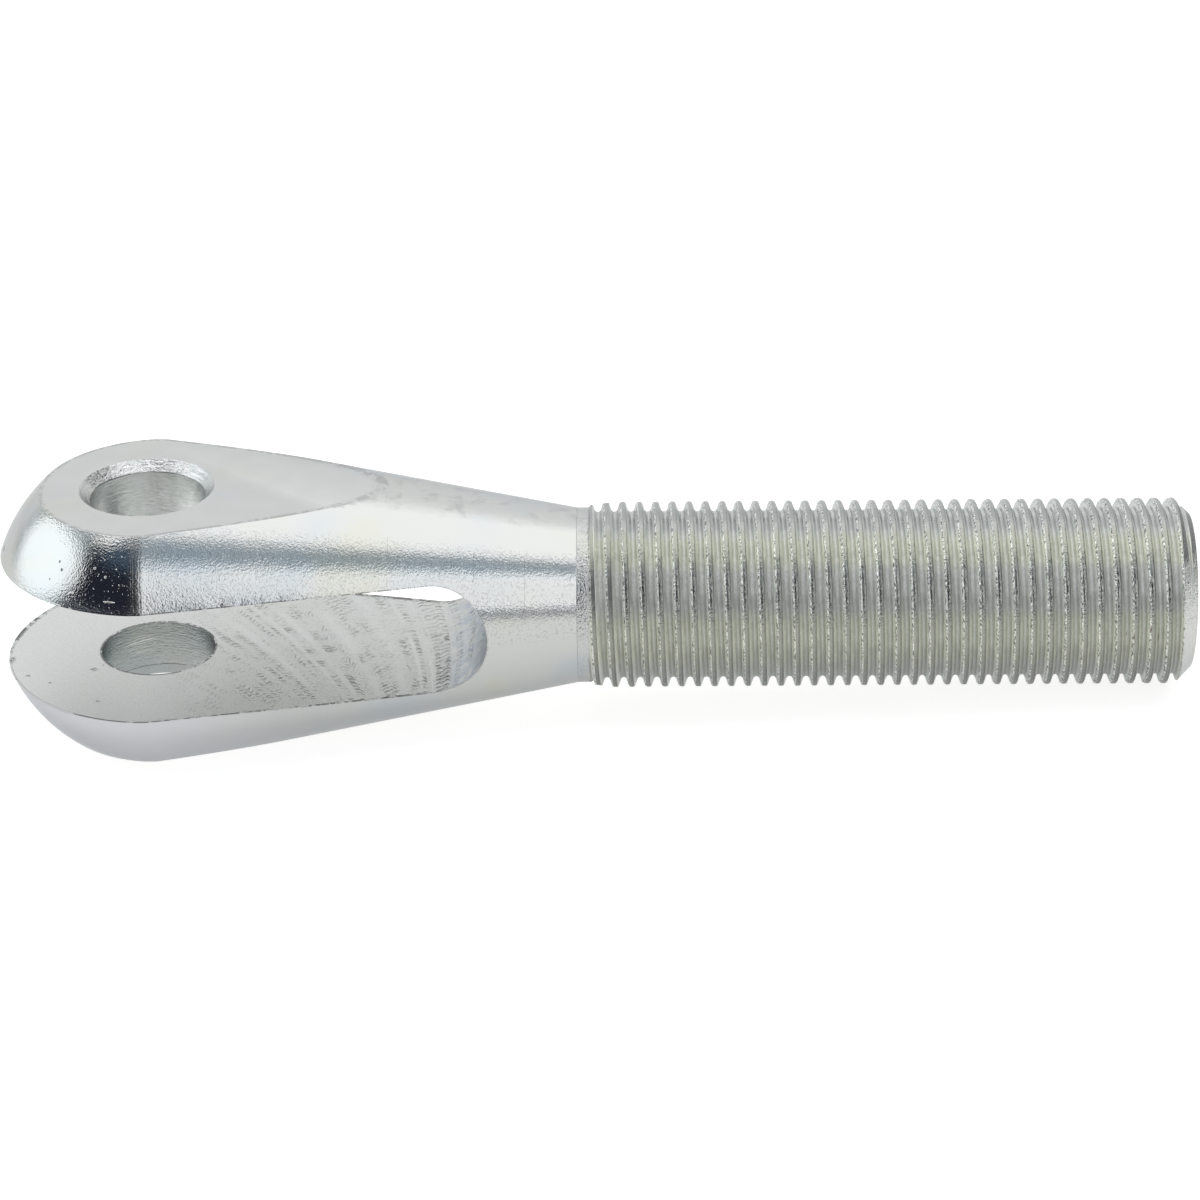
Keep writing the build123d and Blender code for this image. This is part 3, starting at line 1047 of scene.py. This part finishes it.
def paper(name):
    """Pale floor: white to the camera and in reflections, still showing a faint shadow."""
    material = bpy.data.materials.new(name)
    nodes = Nodes(material)
    fibre = nodes.noise(nodes.place(), 50, detail=3)
    matt = nodes.add("ShaderNodeBsdfDiffuse", {"Color": nodes.mix(fibre, *PAPER_TONES)})
    rays = nodes.add("ShaderNodeLightPath").outputs
    mirrored = nodes.total(rays["Is Glossy Ray"], rays["Is Transmission Ray"])
    strength = nodes.weighed((rays["Is Camera Ray"], 0.80), (mirrored, 0.55))
    glow = nodes.add("ShaderNodeEmission", {"Strength": strength})
    both = nodes.add("ShaderNodeAddShader", {0: matt.outputs[0], 1: glow.outputs[0]})
    nodes.add("ShaderNodeOutputMaterial", {"Surface": both.outputs[0]})
    return material


# The studio

# Tones of the room: the degrees and the heights between which each comes up, and its colour
ROOM_PATCHES = (
    ((8, 16), (0.30, 0.20), (0.35, 0.37, 0.40)),
    ((-64, -54), (0.20, 0.13), (0.27, 0.29, 0.32)),
    ((-60, -50), (0.66, 0.72), (0.08, 0.12, 0.17)),
    ((8, 16), (0.66, 0.72), (0.40, 0.47, 0.53)),
)
# Shape, centre in degrees, half size in metres and turn in degrees. StudioLight holds their brightness.
SOFT_BOXES = {
    "top_box": ("RECTANGLE", (180, 84.6), (0.82, 0.51), 4),
    "left_box": ("ELLIPSE", (-93.5, 18.5), (0.60, 0.325), 22),
    "right_box": ("RECTANGLE", (34, 29), (0.40, 0.345), 0),
}


def towards(azimuth, elevation):
    """A direction by its degrees from the camera's side towards the thread, and above the horizon."""
    a, e = math.radians(azimuth), math.radians(elevation)
    return Vector((math.sin(a) * math.cos(e), -math.cos(a) * math.cos(e), math.sin(e)))


def soft_box(name, shape, centre, half_size, turn, radiance):
    """A soft box a metre from the rod end. Centre and turn are in degrees, half_size in metres."""
    azimuth, elevation = centre
    half_width, half_height = half_size
    lamp = bpy.data.lights.new(name, "AREA")
    lamp.shape = shape
    lamp.size = 2 * half_width
    lamp.size_y = 2 * half_height
    area = lamp.size * lamp.size_y * (math.pi / 4 if shape == "ELLIPSE" else 1)
    lamp.energy = radiance * math.pi * area
    holder = bpy.data.objects.new(name, lamp)
    direction = towards(azimuth, elevation)
    facing = direction.to_track_quat("Z", "Y").to_matrix().to_4x4()
    middle = Vector(((CAD_BOX[0][0] + CAD_BOX[1][0]) / 2, 0, 0))
    spin = Matrix.Rotation(math.radians(turn), 4, "Z")
    holder.matrix_world = Matrix.Translation(middle + direction) @ facing @ spin
    holder.visible_camera = False
    bpy.context.scene.collection.objects.link(holder)


def room_light(light):
    """The world: white backdrop behind, unlit room behind the camera, plain white to the camera."""
    world = bpy.data.worlds.new("studio_room")
    nodes = Nodes(world)
    x, y, height = nodes.split(nodes.add("ShaderNodeTexCoord").outputs["Generated"])
    azimuth = nodes.math("ARCTAN2", x, nodes.math("MULTIPLY", y, -1))
    degrees = nodes.math("MULTIPLY", azimuth, 180 / math.pi)
    room = nodes.mix(nodes.step(degrees, -78, -58, 1, 0), light.room, light.dim_wall)
    room = nodes.tinted(room, *[
        (tone, nodes.step(degrees, *sides), nodes.step(height, *heights))
        for sides, heights, tone in ROOM_PATCHES])
    behind = nodes.total(nodes.step(degrees, -141, -122, 1, 0), nodes.step(degrees, 118, 128))
    # Nothing shines through the top box, which lies overhead and is turned by this much
    turn = -0.07
    up = nodes.most(height, 0.001)
    along = nodes.math("DIVIDE", x, up)
    away = nodes.math("MULTIPLY_ADD", along, turn, nodes.math("DIVIDE", y, up))
    beside = nodes.step(nodes.math("ABSOLUTE", along), 0.79, 0.83, 1, 0)
    around = nodes.tinted(
        room,
        ((light.backdrop,) * 3, behind),
        ((0, 0, 0), beside, nodes.band(away, -0.43, -0.39, 0.60, 0.64)))
    camera_ray = nodes.add("ShaderNodeLightPath").outputs["Is Camera Ray"]
    colour = nodes.mix(camera_ray, around, (1, 1, 1))
    shader = nodes.add("ShaderNodeBackground", {"Color": colour, "Strength": 1.0})
    nodes.add("ShaderNodeOutputWorld", {"Surface": shader.outputs[0]})
    bpy.context.scene.world = world


def floor(sizes):
    """A flat sheet that the rod end rests on, so it slopes in the rod end's own frame.

    It touches the heel, where the lower flat runs out on the cone, and the toe, which is the end
    chamfer's edge.
    """
    heel_x = sizes.land_behind + (sizes.bar_radius + LOWER_FLAT) / sizes.taper
    toe_x = SHANK_END - sizes.end_chamfer
    slope = (-CREST_RADIUS - LOWER_FLAT) / (toe_x - heel_x)
    bm = bmesh.new()
    bmesh.ops.create_grid(bm, x_segments=1, y_segments=1, size=2.5)
    for vertex in bm.verts:
        vertex.co.z = LOWER_FLAT + (vertex.co.x - heel_x) * slope
    link_mesh("floor", bm, [paper("paper")])


def camera():
    """A long lens, looking down on the rod end from the side."""
    focal_pixels = 3853.85
    picture = 1200
    sensor = 36
    distance = 328.97 * MM
    target = Vector((38.029, 0, -0.530)) * MM
    roll = math.radians(-0.934)
    back = towards(1.119, 26.853)
    right = Vector((-back.y, back.x, 0)).normalized()
    up = back.cross(right)
    across = math.cos(roll) * right + math.sin(roll) * up
    upward = -math.sin(roll) * right + math.cos(roll) * up
    lens = bpy.data.cameras.new("camera")
    lens.sensor_width = sensor
    lens.lens = focal_pixels / picture * sensor
    lens.clip_start = 0.01
    lens.clip_end = 10
    holder = bpy.data.objects.new("camera", lens)
    turn = Matrix((across, upward, back)).transposed().to_4x4()
    holder.matrix_world = Matrix.Translation(target + back * distance) @ turn
    bpy.context.scene.collection.objects.link(holder)
    bpy.context.scene.camera = holder


# Operators and panel

class ROD_END_OT_body(bpy.types.Operator):
    """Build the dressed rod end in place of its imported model"""

    bl_idname = "rod_end.body"
    bl_label = "Rod End Body"

    def execute(self, context):
        sizes = context.scene.rod_end_sizes
        colours = context.scene.rod_end_colours
        turned = zinc("turned_zinc", sizes, colours, turned_finish)
        milled = zinc("milled_zinc", sizes, colours, flat_finish)
        rolled = zinc("rolled_zinc", sizes, colours, thread_finish)
        slotted = zinc("slotted_zinc", sizes, colours, slot_finish)
        drilled = zinc("drilled_zinc", sizes, colours, bore_finish)
        bm = whole_blank(sizes)
        rolled_from = sizes.thread_start - 0.1 * MM
        for face in bm.faces:
            face.material_index = ROLLED if face.calc_center_median().x > rolled_from else TURNED
        mill_flats(bm)
        piece = link_mesh("rod_end_body", bm, [turned, milled, rolled])
        combine(piece, slot_cutter(sizes, slotted), "DIFFERENCE")
        combine(piece, bore_cutter(sizes, drilled), "DIFFERENCE")
        combine(piece, end_form(sizes, turned), "INTERSECT")
        shade(piece, sizes)
        loose = [edge for edge in piece.data.edges if edge.is_loose]
        if loose:
            raise RuntimeError(f"the rod end's mesh has {len(loose)} loose edges")
        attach(piece, BODY)
        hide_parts(NODE)
        return {"FINISHED"}


class ROD_END_OT_studio(bpy.types.Operator):
    """Put the floor, the soft boxes, the room and the camera round the rod end"""

    bl_idname = "rod_end.studio"
    bl_label = "Studio"

    def execute(self, context):
        light = context.scene.rod_end_light
        floor(context.scene.rod_end_sizes)
        room_light(light)
        for name, setting in SOFT_BOXES.items():
            soft_box(name, *setting, getattr(light, name))
        camera()
        context.scene.view_settings.view_transform = "Standard"
        return {"FINISHED"}


class ROD_END_PT_panel(bpy.types.Panel):
    """Lists the rod end's operators, sizes, colours and light"""

    bl_idname = "ROD_END_PT_panel"
    bl_label = "Clevis Rod End"
    bl_space_type = "VIEW_3D"
    bl_region_type = "UI"
    bl_category = "Rod End"

    def draw(self, context):
        layout = self.layout
        for operator in OPERATORS:
            layout.operator(operator.bl_idname)
        scene = context.scene
        for group in (scene.rod_end_sizes, scene.rod_end_colours, scene.rod_end_light):
            box = layout.box()
            for name in group.bl_rna.properties.keys():
                if name not in ("rna_type", "name"):
                    box.prop(group, name)


OPERATORS = (ROD_END_OT_body, ROD_END_OT_studio)
CLASSES = (RodEndSizes, ZincColours, StudioLight, *OPERATORS, ROD_END_PT_panel)


def register():
    for part in CLASSES:
        bpy.utils.register_class(part)
    bpy.types.Scene.rod_end_sizes = PointerProperty(type=RodEndSizes)
    bpy.types.Scene.rod_end_colours = PointerProperty(type=ZincColours)
    bpy.types.Scene.rod_end_light = PointerProperty(type=StudioLight)


def unregister():
    del bpy.types.Scene.rod_end_light
    del bpy.types.Scene.rod_end_colours
    del bpy.types.Scene.rod_end_sizes
    for part in reversed(CLASSES):
        bpy.utils.unregister_class(part)


def main():
    register()
    bpy.ops.rod_end.body()
    bpy.ops.rod_end.studio()


if __name__ == "__main__":
    main()
